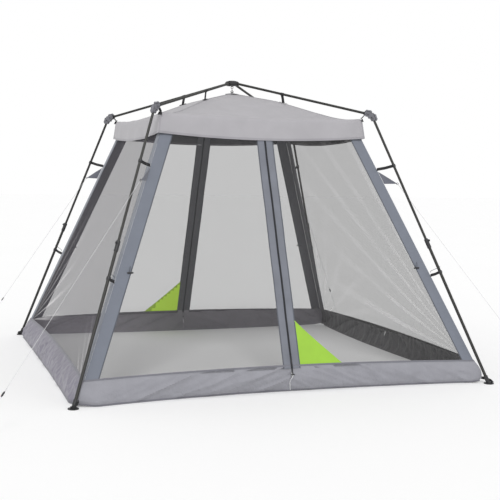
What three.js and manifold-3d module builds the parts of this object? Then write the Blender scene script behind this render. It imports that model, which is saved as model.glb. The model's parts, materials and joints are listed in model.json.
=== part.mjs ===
// Pop-up screen house: four folding roof poles on a hub, four telescoping legs,
// a canopy hung under the poles, mesh walls with two zipped doors, and a ground skirt.
// Millimetres, +Z up, origin on the ground under the hub. The front wall faces -Y.
import * as THREE from 'three';
import { mergeVertices } from 'three/addons/utils/BufferGeometryUtils.js';
import Module from 'manifold-3d';

const wasm = await Module();
wasm.setup();

// ---------- driving dimensions ----------
const FOOT_HALF = 1525; // half the spacing of the foot centres, a 10 ft square
const ELBOW_HALF = 848; // where pole and leg axes meet, half spacing
const ELBOW_Z = 1976;
const HUB_Z = 2251; // where the four pole axes meet
const CORNERS = { fr: [1, -1], br: [1, 1], bl: [-1, 1], fl: [-1, -1] };

const POLE_R = 9.5; // 19 mm roof pole and upper leg
const LOWER_R = 11; // 22 mm lower leg
const TUBE_WALL = 1;
const SLIDE_CLEARANCE = 0.5; // between the two leg tubes
const GAP = 0.4; // between parts that touch or turn in each other

const HUB_R = 58;
const HUB_CORE_R = 26;
const HUB_HALF_H = 17;
const HUB_BEVEL = 6; // under the hub's edge
const HUB_SLOPE = 10; // over it
const HUB_DOME = 6; // the crown's rise over the hub's top
const HUB_PIVOT_R = 42;
const HUB_PIN_HALF = 14;
const PIN_R = 2.5;
const POLE_TAIL = 12; // pole length behind its pivot pin

const EYE_R = 9; // eye under the hub
const EYE_DROP = 14; // its centre below the hub
const HOOK_WIRE_R = 2;
const STUD_R = 8; // holds the canopy's peak
const STUD_H = 9;

const ELBOW_OUT = 17; // casing depth on the outside of the bend
const ELBOW_LEN = 52; // casing length from the bend along each tube
const ELBOW_HALF_W = 15;
const ELBOW_DROP = 24; // hinge pin below the tube axes
const EAR_R = 8.5;
const EAR_HALF_W = 5.5; // middle ear, on the leg's half
const EAR_ROOT = 30; // where the web to the hinge ears starts, from the bend
const SOCKET_START = 14; // casing bore starts here

const COLLAR_R = 15;
const COLLAR_ABOVE = 38; // collar length above the top of the lower leg
const COLLAR_BELOW = 36;
const LOWER_TOP = 1072; // top of the lower leg, measured from the bend
const UPPER_END = 1175; // bottom of the upper leg, measured from the bend
const BUTTON_R = 4;
const BUTTON_PROUD = 3;
const BOSS_R = 9;
const BOSS_OUT = 23; // button boss face from the leg axis
const BUTTON_FLOOR = 15.8; // bottom of the button's hole from the leg axis

const PLATE_R = 36;
const PLATE_T = 6;
const FOOT_BOSS_R = 15;
const FOOT_BOSS_LEN = 62;
const FOOT_BOSS_DEPTH = 12; // boss below the plate, cut off at the ground
const FOOT_FLOOR = 13; // the socket's floor along the leg
const LUG_R = 9;
const LUG_WIRE_R = 2.5;
const LUG_INSET = 12; // the lug's centre inside the plate's edge
const LUG_LIFT = 7; // and above the plate
const CUT_DEPTH = 60; // of the block that takes away what is under the ground

const PEAK_Z = 2165; // canopy peak
const EAVE_HALF = 790; // canopy corner
const EAVE_Z = 1940;
const VALANCE_HALF = 812;
const VALANCE_Z = 1793;
const ROOF_SAG = 26; // how far a roof panel hangs below its ridges
const CLOTH = 1.2; // cloth thickness

const WALL_TOP_HALF = 756; // the walls start inside the valance and lean out
const WALL_TOP_Z = 1880;
const WALL_BOTTOM_HALF = 1438;
const WALL_BOTTOM_Z = 166;
const WALL_SLOPE = (WALL_BOTTOM_HALF - WALL_TOP_HALF) / (WALL_TOP_Z - WALL_BOTTOM_Z);
const WALL_CORNER_GAP = 6;
const WALL_SEAM_GAP = 2; // between a wall's foot and its skirt
const ZIP_GAP = 1.5; // half the gap between two door halves

const SKIRT_TOP_HALF = 1440;
const SKIRT_TOP_Z = 165;
const SKIRT_MID_HALF = { front: 1408, right: 1415, back: 1425, left: 1530 }; // hem between the feet
const SKIRT_END_HALF = 1500;
const SKIRT_TOP_END = 1428;
const SKIRT_HEM_END = 1462;
const SKIRT_PUFF = 6; // how far it swells halfway down
const SKIRT_T = 4;

const ZIP_REST_Z = 230; // the slider, closed at the bottom of the door
const SLIDER_W = 14;
const SLIDER_T = 5;
const SLIDER_H = 18;
const PULL_W = 8;
const PULL_H = 34;
const PULL_DROP = 22; // the pull's centre below the slider's

const TAB_TIP_R = 1412; // along the diagonal
const TAB_TIP_Z = 1455;
const TAB_SIDE = 20; // the guyline passes beside the leg
const TAB_TOP_Z = 1548;
const TAB_LOW_Z = 1440;
const TAB_STANDOFF = 4; // between the tab's root and the wall's corner
const TAB_T = 2;
const GUY_R = 1.5;
const KNOT = 6; // between the line's end and the tab's eye or the peg
const PEG_HALF = { fr: 1830, br: 1830, bl: 1830, fl: 2190 };
const PEG_R = 3;
const PEG_H = 46;
const PEG_NECK_Z = 32; // where the line goes round the peg
const PEG_REACH = 22; // the hook's tip out from the line's end

// ---------- colours ----------
const STEEL = { color: 0x3a3a38, roughness: 0.45, metalness: 0.6 };
const GREY_PLASTIC = { color: 0x8b8b92, roughness: 0.55, metalness: 0 };
const BLACK_PLASTIC = { color: 0x26262a, roughness: 0.5, metalness: 0 };
const CLOTH_GREY = { color: 0xb3b2b6, roughness: 0.85, metalness: 0 };
const SLEEVE_GREY = { color: 0x858a96, roughness: 0.85, metalness: 0 };
const MESH_GREY = { color: 0xc2c2c2, roughness: 0.9, metalness: 0 };
const SKIRT_GREY = { color: 0x999aa0, roughness: 0.9, metalness: 0 };
const CORD_WHITE = { color: 0xeeeeee, roughness: 0.8, metalness: 0 };

const model = new THREE.Group();

// ---------- solids and booleans ----------
function toSolid(geometry) {
  const bare = geometry.clone();
  bare.deleteAttribute('normal');
  bare.deleteAttribute('uv');
  const merged = mergeVertices(bare, 1e-4);
  return new wasm.Manifold(new wasm.Mesh({
    numProp: 3,
    vertProperties: new Float32Array(merged.attributes.position.array),
    triVerts: new Uint32Array(merged.index.array),
  }));
}

function toGeometry(solid) {
  const mesh = solid.getMesh();
  const geometry = new THREE.BufferGeometry();
  const position = new Float32Array(mesh.vertProperties);
  geometry.setAttribute('position', new THREE.BufferAttribute(position, 3));
  geometry.setIndex(new THREE.BufferAttribute(new Uint32Array(mesh.triVerts), 1));
  geometry.computeVertexNormals();
  return geometry;
}

const join = (...parts) => parts.map(toSolid).reduce((a, b) => a.add(b));
const cut = (solid, ...tools) => tools.map(toSolid).reduce((a, b) => a.subtract(b), solid);

function add(group, name, geometry, look) {
  const mesh = new THREE.Mesh(geometry, new THREE.MeshStandardMaterial(look));
  mesh.name = name;
  group.add(mesh);
}

// ---------- placing round parts along a line in the corner's frame ----------
const UP = new THREE.Vector3(0, 0, 1);

// a rod or tube from one point towards another; the lathe's axis is first turned to +Z
function along(from, direction, profile, sides = 16) {
  const geometry = new THREE.LatheGeometry(profile.map(([r, s]) => new THREE.Vector2(r, s)), sides);
  geometry.rotateX(Math.PI / 2);
  geometry.applyQuaternion(new THREE.Quaternion().setFromUnitVectors(UP, direction));
  geometry.translate(from.x, from.y, from.z);
  return geometry;
}

const rodProfile = (radius, start, end) => [[0, start], [radius, start], [radius, end], [0, end]];
const rod = (from, direction, radius, start, end, sides = 16) =>
  along(from, direction, rodProfile(radius, start, end), sides);

function tube(from, direction, outer, start, end, inner = outer - TUBE_WALL, sides = 16) {
  const profile = [[inner, start], [outer, start], [outer, end], [inner, end], [inner, start]];
  return along(from, direction, profile, sides);
}

// a plate cut from a shape in the corner's upright plane, between two widths
function plate(shape, fromT, toT) {
  const extrusion = { depth: toT - fromT, bevelEnabled: false, curveSegments: 9 };
  const geometry = new THREE.ExtrudeGeometry(shape, extrusion);
  geometry.rotateX(Math.PI / 2);
  geometry.translate(0, toT, 0);
  return geometry;
}

// ---------- the frame's lines in the corner's upright plane: r outward, z up ----------
const DIAGONAL = Math.SQRT2;
const hubAxis = new THREE.Vector3(0, 0, HUB_Z);
const bend = new THREE.Vector3(ELBOW_HALF * DIAGONAL, 0, ELBOW_Z);
const ground = new THREE.Vector3(FOOT_HALF * DIAGONAL, 0, 0);
const poleDir = bend.clone().sub(hubAxis).normalize(); // hub to elbow
const legDir = ground.clone().sub(bend).normalize(); // elbow to foot
const legLength = bend.distanceTo(ground);
const SIDEWAYS = new THREE.Vector3(0, 1, 0);
const hubPivot = hubAxis.clone().addScaledVector(poleDir, HUB_PIVOT_R / poleDir.x);
const poleLength = hubPivot.distanceTo(bend);

const toHub = poleDir.clone().negate();
const inward = toHub.clone().add(legDir).normalize(); // middle of the elbow's inner angle
const halfAngle = toHub.angleTo(legDir) / 2;
const elbowPin = bend.clone().addScaledVector(inward, ELBOW_DROP / Math.sin(halfAngle));

function outline(points) {
  return new THREE.Shape(points.map((p) => new THREE.Vector2(p.x, p.z)));
}

function disc(centre, radius) {
  const shape = new THREE.Shape();
  shape.absarc(centre.x, centre.z, radius, 0, 2 * Math.PI);
  return shape;
}

// ---------- hub ----------
function hubBody() {
  const centre = new THREE.Vector3(0, 0, hubPivot.z);
  const crown = along(centre, UP, [
    [0, -HUB_HALF_H], [HUB_R - HUB_BEVEL, -HUB_HALF_H], [HUB_R, -HUB_HALF_H + HUB_BEVEL],
    [HUB_R, HUB_HALF_H - HUB_SLOPE], [HUB_R - HUB_SLOPE, HUB_HALF_H],
    [HUB_CORE_R, HUB_HALF_H + HUB_DOME], [0, HUB_HALF_H + HUB_DOME],
  ], 32);
  const slotWidth = 2 * (POLE_R + GAP);
  const slots = [];
  const pins = [];
  for (const turn of [45, 135, 225, 315]) {
    const slot = new THREE.BoxGeometry(HUB_R, slotWidth, 4 * HUB_HALF_H);
    slot.translate(HUB_CORE_R + HUB_R / 2, 0, hubPivot.z);
    slot.rotateZ(THREE.MathUtils.degToRad(turn));
    slots.push(slot);
    const pivot = new THREE.Vector3(HUB_PIVOT_R, 0, hubPivot.z);
    const pin = rod(pivot, SIDEWAYS, PIN_R, -HUB_PIN_HALF, HUB_PIN_HALF, 12);
    pin.rotateZ(THREE.MathUtils.degToRad(turn));
    pins.push(pin);
  }
  const slotted = cut(toSolid(crown), ...slots);
  return toGeometry(pins.map(toSolid).reduce((a, b) => a.add(b), slotted));
}

// an eye under the hub and the stud that holds the canopy's peak
function canopyHook() {
  const top = hubPivot.z - HUB_HALF_H - GAP;
  const eye = new THREE.TorusGeometry(EYE_R, HOOK_WIRE_R, 8, 18);
  eye.rotateX(Math.PI / 2);
  eye.translate(0, 0, top - EYE_DROP);
  const peak = new THREE.Vector3(0, 0, PEAK_Z);
  const neck = rod(new THREE.Vector3(0, 0, top), UP, HOOK_WIRE_R + 1, EYE_R - EYE_DROP, 0, 12);
  const stem = rod(peak, UP, HOOK_WIRE_R, STUD_H - 1, top - PEAK_Z - EYE_DROP - EYE_R + 1, 12);
  const stud = rod(peak, UP, STUD_R, CLOTH, STUD_H, 16);
  return toGeometry(join(eye, neck, stem, stud));
}

// ---------- one corner of the frame ----------
function roofPole() {
  const outer = rod(hubPivot, poleDir, POLE_R, -POLE_TAIL, poleLength - SOCKET_START - GAP);
  const bore = rod(hubPivot, poleDir, POLE_R - TUBE_WALL, -POLE_TAIL - 1, poleLength);
  const pinHole = rod(hubPivot, SIDEWAYS, PIN_R + GAP, -2 * POLE_R, 2 * POLE_R, 12);
  return toGeometry(cut(toSolid(outer), bore, pinHole));
}

// one half of the elbow casing, from the mitre through the bend and the hinge pin to a rounded end
function casingHalf(direction, own, other) {
  const outside = inward.clone().addScaledVector(direction, -inward.dot(direction)).normalize().negate();
  const at = (s, n) => bend.clone().addScaledVector(direction, s).addScaledVector(outside, n);
  const mitre = (n) => -n / Math.tan(halfAngle) + GAP / 2 / Math.sin(halfAngle);
  const shoulder = ELBOW_LEN - ELBOW_OUT / 2;
  const points = [at(mitre(ELBOW_OUT), ELBOW_OUT), at(shoulder, ELBOW_OUT)];
  for (let step = 1; step < 6; step += 1) {
    const turn = (step / 6) * Math.PI;
    points.push(at(shoulder + Math.sin(turn) * ELBOW_OUT / 2, Math.cos(turn) * ELBOW_OUT));
  }
  points.push(at(shoulder, -ELBOW_OUT), at(EAR_ROOT, -ELBOW_OUT));
  points.push(at(mitre(-ELBOW_DROP) + EAR_R, -ELBOW_DROP), at(mitre(-ELBOW_DROP), -ELBOW_DROP));
  const body = plate(outline(points), -ELBOW_HALF_W, ELBOW_HALF_W);
  const ears = own.map(([from, to]) => plate(disc(elbowPin, EAR_R), from, to));
  const clearance = other.map(([from, to]) => plate(disc(elbowPin, EAR_R + GAP), from - GAP, to + GAP));
  const socket = rod(bend, direction, POLE_R + GAP, SOCKET_START, 2 * ELBOW_LEN);
  return cut(join(body, ...ears), ...clearance, socket);
}

const OUTER_EARS = [[-ELBOW_HALF_W, -EAR_HALF_W - GAP], [EAR_HALF_W + GAP, ELBOW_HALF_W]];
const MIDDLE_EAR = [[-EAR_HALF_W, EAR_HALF_W]];

function elbowCasing() {
  const pin = rod(elbowPin, SIDEWAYS, PIN_R, -ELBOW_HALF_W + 1, ELBOW_HALF_W - 1, 12);
  return toGeometry(casingHalf(toHub, OUTER_EARS, MIDDLE_EAR).add(toSolid(pin)));
}

function elbowKnuckle() {
  const pinHole = rod(elbowPin, SIDEWAYS, PIN_R + GAP, -ELBOW_HALF_W, ELBOW_HALF_W, 12);
  return toGeometry(cut(casingHalf(legDir, MIDDLE_EAR, OUTER_EARS), pinHole));
}

const legUpper = () => tube(bend, legDir, POLE_R, SOCKET_START + GAP, UPPER_END);
const legLower = () =>
  tube(bend, legDir, LOWER_R, LOWER_TOP, legLength - FOOT_FLOOR - 1, POLE_R + SLIDE_CLEARANCE);

// the button stands out of the collar on the side away from the tent
const buttonDir = legDir.clone().cross(SIDEWAYS).normalize();
const buttonSpot = bend.clone().addScaledVector(legDir, LOWER_TOP - COLLAR_ABOVE / 2);

function legCollar() {
  const sleeve = rod(bend, legDir, COLLAR_R, LOWER_TOP - COLLAR_ABOVE, LOWER_TOP + COLLAR_BELOW);
  const boss = rod(buttonSpot, buttonDir, BOSS_R, 0, BOSS_OUT, 16);
  const upperBore = rod(bend, legDir, POLE_R + GAP, LOWER_TOP - 2 * COLLAR_ABOVE, LOWER_TOP + 1);
  const lowerBore = rod(bend, legDir, LOWER_R + GAP, LOWER_TOP - GAP, LOWER_TOP + 2 * COLLAR_BELOW);
  const buttonHole = rod(buttonSpot, buttonDir, BUTTON_R + GAP, BUTTON_FLOOR, 2 * BOSS_OUT, 16);
  return toGeometry(cut(join(sleeve, boss), upperBore, lowerBore, buttonHole));
}

const legButton = () =>
  rod(buttonSpot, buttonDir, BUTTON_R, BUTTON_FLOOR + BUTTON_PROUD + GAP, BOSS_OUT + BUTTON_PROUD, 16);

// ground plate, slanted socket and the ring lug that takes the skirt's strap
function foot() {
  const base = rod(new THREE.Vector3(ground.x, 0, 0), UP, PLATE_R, 0, PLATE_T, 24);
  const upLeg = legDir.clone().negate();
  const boss = rod(ground, upLeg, FOOT_BOSS_R, -FOOT_BOSS_DEPTH, FOOT_BOSS_LEN);
  const lug = new THREE.TorusGeometry(LUG_R, LUG_WIRE_R, 6, 14);
  lug.rotateX(Math.PI / 2);
  lug.translate(ground.x + PLATE_R - LUG_INSET, 0, PLATE_T + LUG_LIFT);
  const socket = rod(ground, upLeg, LOWER_R + GAP, FOOT_FLOOR, 2 * FOOT_BOSS_LEN);
  const underground = new THREE.BoxGeometry(4 * PLATE_R, 4 * PLATE_R, CUT_DEPTH);
  underground.translate(ground.x, 0, -CUT_DEPTH / 2);
  return toGeometry(cut(join(base, boss, lug), socket, underground));
}

// ---------- soft parts ----------
function fromPoints(points, index) {
  const position = points.flatMap((p) => [p.x, p.y, p.z]);
  const geometry = new THREE.BufferGeometry();
  geometry.setAttribute('position', new THREE.Float32BufferAttribute(position, 3));
  geometry.setIndex(index);
  geometry.computeVertexNormals();
  return geometry;
}

// a closed sheet from two grids of points, outer and inner, of the same size
function closedSheet(outer, inner) {
  const rows = outer.length;
  const columns = outer[0].length;
  const spot = (side, i, j) => (side * rows + i) * columns + j;
  const index = [];
  const quad = (a, b, c, d) => index.push(a, b, c, a, c, d);
  for (let i = 0; i < rows - 1; i += 1) {
    for (let j = 0; j < columns - 1; j += 1) {
      quad(spot(0, i, j), spot(0, i + 1, j), spot(0, i + 1, j + 1), spot(0, i, j + 1));
      quad(spot(1, i, j), spot(1, i, j + 1), spot(1, i + 1, j + 1), spot(1, i + 1, j));
    }
  }
  for (let i = 0; i < rows - 1; i += 1) {
    quad(spot(0, i, 0), spot(1, i, 0), spot(1, i + 1, 0), spot(0, i + 1, 0));
    const edge = columns - 1;
    quad(spot(0, i, edge), spot(0, i + 1, edge), spot(1, i + 1, edge), spot(1, i, edge));
  }
  for (let j = 0; j < columns - 1; j += 1) {
    quad(spot(0, 0, j), spot(0, 0, j + 1), spot(1, 0, j + 1), spot(1, 0, j));
    const end = rows - 1;
    quad(spot(0, end, j), spot(1, end, j), spot(1, end, j + 1), spot(0, end, j + 1));
  }
  return fromPoints([...outer, ...inner].flat(), index);
}

// the canopy as a closed shell: rings of points from the peak over the eave to the valance's hem
const SIDE_STEPS = 6;

function canopyRing(half, z, sag) {
  const ring = [];
  for (let side = 0; side < 4; side += 1) {
    for (let step = 0; step < SIDE_STEPS; step += 1) {
      const across = (2 * step) / SIDE_STEPS - 1;
      const dip = 1 - across * across;
      const point = new THREE.Vector3(across * half, -half, z - sag * dip);
      ring.push(point.applyAxisAngle(UP, (side * Math.PI) / 2));
    }
  }
  return ring;
}

function canopy() {
  const roofSteps = 4;
  const levels = [];
  for (let step = 1; step <= roofSteps; step += 1) {
    const share = step / roofSteps;
    const height = PEAK_Z - (PEAK_Z - EAVE_Z) * share;
    levels.push([EAVE_HALF * share, height, ROOF_SAG * share * share]);
  }
  levels.push([VALANCE_HALF, VALANCE_Z, ROOF_SAG]);
  const outerRings = levels.map((level) => canopyRing(...level));
  const inside = levels.map(([half, z, sag], i) => (i < roofSteps
    ? [half - CLOTH * (half / EAVE_HALF), z - CLOTH, sag]
    : [half - CLOTH, z, sag]));
  const innerRings = inside.map((level) => canopyRing(...level));
  const loops = [...outerRings, ...innerRings.reverse()];
  const count = 4 * SIDE_STEPS;
  const points = loops.flat();
  points.push(new THREE.Vector3(0, 0, PEAK_Z), new THREE.Vector3(0, 0, PEAK_Z - CLOTH));
  const peak = loops.length * count;
  const index = [];
  for (let j = 0; j < count; j += 1) {
    const next = (j + 1) % count;
    index.push(peak, j, next);
    for (let i = 0; i < loops.length - 1; i += 1) {
      const a = i * count + j;
      const b = i * count + next;
      const c = (i + 1) * count + next;
      const d = (i + 1) * count + j;
      index.push(a, d, c, a, c, b);
    }
    const last = (loops.length - 1) * count;
    index.push(peak + 1, last + next, last + j);
  }
  return fromPoints(points, index);
}

const wallHalf = (z) => WALL_BOTTOM_HALF - WALL_SLOPE * (z - WALL_BOTTOM_Z);

// a flat wall panel between two shares of the wall's width, -1 to 1, facing -Y
function wall(fromShare, toShare) {
  const edge = (share, z) => share * (wallHalf(z) - WALL_CORNER_GAP);
  const point = (share, z, depth) => {
    const inset = share === 0 ? ZIP_GAP * Math.sign(fromShare + toShare) : 0;
    return new THREE.Vector3(edge(share, z) + inset, -wallHalf(z) + depth, z);
  };
  const heights = [WALL_TOP_Z, WALL_BOTTOM_Z + WALL_SEAM_GAP];
  const grid = (depth) => heights.map((z) => [fromShare, toShare].map((share) => point(share, z, depth)));
  return closedSheet(grid(0), grid(CLOTH));
}

// the ground skirt on one side: straight along the wall, its hem bowed between the feet
function skirt(midHalf) {
  const steps = 8;
  const row = (half, end, z, dent, depth) => {
    const points = [];
    for (let step = 0; step <= steps; step += 1) {
      const across = (2 * step) / steps - 1;
      points.push(new THREE.Vector3(across * end, -half + dent * (1 - across * across) + depth, z));
    }
    return points;
  };
  const dent = SKIRT_END_HALF - midHalf;
  const middle = (SKIRT_TOP_HALF + SKIRT_END_HALF) / 2 + SKIRT_PUFF;
  const grid = (depth) => [
    row(SKIRT_TOP_HALF, SKIRT_TOP_END, SKIRT_TOP_Z, 0, depth),
    row(middle, (SKIRT_TOP_END + SKIRT_HEM_END) / 2, SKIRT_TOP_Z / 2, dent / 2, depth),
    row(SKIRT_END_HALF, SKIRT_HEM_END, 0, dent, depth),
  ];
  return closedSheet(grid(0), grid(SKIRT_T));
}

// zip slider with its pull
function zipSlider() {
  const body = new THREE.BoxGeometry(SLIDER_W, SLIDER_T, SLIDER_H);
  const pull = new THREE.BoxGeometry(PULL_W, SLIDER_T / 2, PULL_H);
  pull.translate(0, -SLIDER_T / 2, -PULL_DROP);
  const geometry = toGeometry(join(body, pull));
  geometry.rotateX(-Math.atan(WALL_SLOPE));
  geometry.translate(0, -wallHalf(ZIP_REST_Z) - SLIDER_T, ZIP_REST_Z);
  return geometry;
}

// ---------- guylines ----------
const tabTip = new THREE.Vector3(TAB_TIP_R, TAB_SIDE, TAB_TIP_Z);

// a cloth gusset that stands out of the corner's sleeve, with its eye at the tip
function guyTab() {
  const root = (z) => new THREE.Vector3(wallHalf(z) * DIAGONAL + TAB_STANDOFF, 0, z);
  return plate(outline([root(TAB_TOP_Z), root(TAB_LOW_Z), tabTip]), TAB_SIDE - TAB_T, TAB_SIDE);
}

function guyline(pegR) {
  const end = new THREE.Vector3(pegR, TAB_SIDE, PEG_NECK_Z);
  const line = end.sub(tabTip);
  return rod(tabTip, line.clone().normalize(), GUY_R, KNOT, line.length() - KNOT, 8);
}

// a ground peg's head: an upright pin with a hook bent over the line
function peg(pegR) {
  const spot = (out, z) => new THREE.Vector3(pegR + out, TAB_SIDE, z);
  const path = new THREE.CatmullRomCurve3([
    spot(4, PEG_R), spot(2, PEG_H * 0.6), spot(6, PEG_H),
    spot(PEG_REACH - 4, PEG_H + 2), spot(PEG_REACH, PEG_NECK_Z),
  ]);
  const section = new THREE.Shape();
  section.absarc(0, 0, PEG_R, 0, 2 * Math.PI);
  return new THREE.ExtrudeGeometry(section, { steps: 10, curveSegments: 4, extrudePath: path });
}

// ---------- assembly ----------
add(model, 'hub_body', hubBody(), BLACK_PLASTIC);
add(model, 'canopy_hook', canopyHook(), STEEL);

for (const [corner, [x, y]] of Object.entries(CORNERS)) {
  const frame = new THREE.Group();
  frame.rotation.z = Math.atan2(y, x);
  model.add(frame);
  add(frame, `roof_pole_${corner}`, roofPole(), STEEL);
  add(frame, `elbow_casing_${corner}`, elbowCasing(), GREY_PLASTIC);
  add(frame, `elbow_knuckle_${corner}`, elbowKnuckle(), GREY_PLASTIC);
  add(frame, `leg_upper_${corner}`, legUpper(), STEEL);
  add(frame, `leg_lower_${corner}`, legLower(), STEEL);
  add(frame, `leg_collar_${corner}`, legCollar(), BLACK_PLASTIC);
  add(frame, `leg_button_${corner}`, legButton(), BLACK_PLASTIC);
  add(frame, `foot_${corner}`, foot(), BLACK_PLASTIC);
  add(frame, `guy_tab_${corner}`, guyTab(), SLEEVE_GREY);
  add(frame, `guyline_${corner}`, guyline(PEG_HALF[corner] * DIAGONAL), CORD_WHITE);
  add(frame, `guy_peg_${corner}`, peg(PEG_HALF[corner] * DIAGONAL), STEEL);
}

add(model, 'canopy', canopy(), CLOTH_GREY);

const SIDES = { front: 0, right: 90, back: 180, left: 270 };
for (const [side, degrees] of Object.entries(SIDES)) {
  const turned = new THREE.Group();
  turned.rotation.z = THREE.MathUtils.degToRad(degrees);
  model.add(turned);
  if (side === 'front' || side === 'back') {
    add(turned, `${side}_wall_a`, wall(-1, 0), MESH_GREY);
    add(turned, `${side}_wall_b`, wall(0, 1), MESH_GREY);
    add(turned, `${side}_zip_slider`, zipSlider(), BLACK_PLASTIC);
  } else {
    add(turned, `${side}_wall`, wall(-1, 1), MESH_GREY);
  }
  add(turned, `${side}_skirt`, skirt(SKIRT_MID_HALF[side]), SKIRT_GREY);
}

export default model;
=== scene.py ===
# Looks of the pop-up screen house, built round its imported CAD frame.
# Metres, +Z up, origin on the ground under the hub. The front wall faces -Y.
import json
import math

import bpy
import numpy as np
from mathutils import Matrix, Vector, noise


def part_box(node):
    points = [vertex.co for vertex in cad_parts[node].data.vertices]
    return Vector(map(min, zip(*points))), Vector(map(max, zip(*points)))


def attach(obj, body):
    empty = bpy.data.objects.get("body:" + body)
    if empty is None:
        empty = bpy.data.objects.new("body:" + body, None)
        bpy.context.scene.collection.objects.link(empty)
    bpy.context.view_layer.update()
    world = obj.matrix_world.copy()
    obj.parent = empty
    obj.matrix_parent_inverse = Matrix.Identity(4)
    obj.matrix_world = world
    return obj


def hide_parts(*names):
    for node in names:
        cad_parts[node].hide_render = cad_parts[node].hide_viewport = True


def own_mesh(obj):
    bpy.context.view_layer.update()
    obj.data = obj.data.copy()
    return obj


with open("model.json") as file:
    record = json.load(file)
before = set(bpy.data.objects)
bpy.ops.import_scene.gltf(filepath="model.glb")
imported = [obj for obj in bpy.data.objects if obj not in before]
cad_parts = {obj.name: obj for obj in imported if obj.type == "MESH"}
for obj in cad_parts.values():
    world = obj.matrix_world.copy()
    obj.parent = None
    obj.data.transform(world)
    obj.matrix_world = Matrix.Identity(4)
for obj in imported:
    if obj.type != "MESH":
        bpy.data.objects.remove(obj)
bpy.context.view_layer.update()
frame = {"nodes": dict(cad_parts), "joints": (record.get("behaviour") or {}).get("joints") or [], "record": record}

# ---------- places read from the frame ----------
UP = Vector((0, 0, 1))
CORNERS = {"fr": (1, -1), "br": (1, 1), "bl": (-1, 1), "fl": (-1, -1)}
SIDES = {"front": 0, "right": 90, "back": 180, "left": 270}
JOINTS = {joint["name"]: joint for joint in frame["joints"]}
FOOT = {mount["name"][-2:]: Vector(mount["pos_m"]) for mount in frame["record"]["mounts"]}

VALANCE_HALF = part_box("canopy")[1].x
CLOTH = 0.0012  # thickness of the CAD's cloth
WALL_LOW, WALL_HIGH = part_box("right_wall")
WALL_TOP_HALF = WALL_LOW.x + CLOTH
WALL_BOTTOM_HALF = WALL_HIGH.x
WALL_SLOPE = (WALL_BOTTOM_HALF - WALL_TOP_HALF) / (WALL_HIGH.z - WALL_LOW.z)
ELBOW_Z = 1.976  # where the axes of pole and leg meet, as in the CAD
TUBE_R = 0.0095
LOWER_R = 0.011


def corner_axes(corner):
    """Outward along the corner's diagonal, and sideways from it."""
    x, y = CORNERS[corner]
    outward = Vector((x, y, 0)).normalized()
    return outward, Vector((-outward.y, outward.x, 0))


def at_corner(corner, r, t, z):
    outward, sideways = corner_axes(corner)
    return outward * r + sideways * t + UP * z


def on_side(side, across, out, z):
    """A point seen from outside that side: across to the right, out from the middle, z up."""
    turn = math.radians(SIDES[side])
    cos, sin = math.cos(turn), math.sin(turn)
    return Vector((across * cos + out * sin, across * sin - out * cos, z))


def corner_of(side, half):
    """The corner at the left (-1) or right (+1) end of a side, seen from outside."""
    spot = on_side(side, half, 1, 0)
    return next(c for c, (x, y) in CORNERS.items() if x * spot.x > 0 and y * spot.y > 0)


def wall_half(z):
    """How far a wall is from the middle at height z."""
    return WALL_BOTTOM_HALF - WALL_SLOPE * (z - WALL_LOW.z)


def leg_point(corner, z):
    axis = Vector(JOINTS["leg_slide_" + corner]["axis"])
    return FOOT[corner] + axis * (z / axis.z)


def pole_point(corner, share):
    """A point on the roof pole's axis, from its hub pivot (0) to the bend (1)."""
    pivot = Vector(JOINTS["hub_hinge_" + corner]["pos_m"])
    return pivot.lerp(leg_point(corner, ELBOW_Z), share)


# ---------- camera, floor and light ----------
CAMERA_SPOT = Vector((-2.522, -7.778, 1.502))
CAMERA_YAW = 0.334  # to the right of +Y
CAMERA_PITCH = -0.075
CAMERA_ROLL = 0.016
CAMERA_LENS = 71.64


def make_camera():
    data = bpy.data.cameras.new("camera")
    data.lens = CAMERA_LENS
    camera = bpy.data.objects.new("camera", data)
    bpy.context.scene.collection.objects.link(camera)
    camera.location = CAMERA_SPOT
    camera.rotation_euler = (math.pi / 2 + CAMERA_PITCH, 0, -CAMERA_YAW)
    camera.rotation_euler.rotate_axis("Z", CAMERA_ROLL)
    bpy.context.scene.camera = camera


AMBIENT = 0.72  # what the white room gives the object; its backdrop itself is plain white
SUN_FROM = Vector((-0.24, -0.74, 0.78))
SUN_STRENGTH = 1.35
SUN_ANGLE = math.radians(16)
FLOOR_REACH = 60


def make_world():
    world = bpy.data.worlds.new("studio")
    world.use_nodes = True
    tree = world.node_tree
    background = tree.nodes["Background"]
    background.inputs["Color"].default_value = (1, 1, 1, 1)
    seen = tree.nodes.new("ShaderNodeLightPath").outputs["Is Camera Ray"]
    strength = tree.nodes.new("ShaderNodeMath")
    strength.operation = "MULTIPLY_ADD"
    tree.links.new(seen, strength.inputs[0])
    strength.inputs[1].default_value = 1 - AMBIENT
    strength.inputs[2].default_value = AMBIENT
    tree.links.new(strength.outputs[0], background.inputs["Strength"])
    bpy.context.scene.world = world


def make_studio():
    make_world()
    bpy.context.scene.view_settings.view_transform = "Standard"
    data = bpy.data.lights.new("softbox", "SUN")
    data.energy = SUN_STRENGTH
    data.angle = SUN_ANGLE
    light = bpy.data.objects.new("softbox", data)
    bpy.context.scene.collection.objects.link(light)
    light.rotation_euler = SUN_FROM.to_track_quat("Z", "Y").to_euler()
    mesh = bpy.data.meshes.new("floor")
    spots = [(x * FLOOR_REACH, y * FLOOR_REACH, 0) for x, y in ((-1, -1), (1, -1), (1, 1), (-1, 1))]
    mesh.from_pydata(spots, [], [(0, 1, 2, 3)])
    floor = bpy.data.objects.new("floor", mesh)
    bpy.context.scene.collection.objects.link(floor)
    floor.data.materials.append(FLOOR)


# ---------- materials ----------
def linear(red, green, blue):
    """An sRGB colour, 0 to 255, as linear light."""
    def one(value):
        value /= 255
        return value / 12.92 if value <= 0.04045 else ((value + 0.055) / 1.055) ** 2.4
    return one(red), one(green), one(blue)


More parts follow.
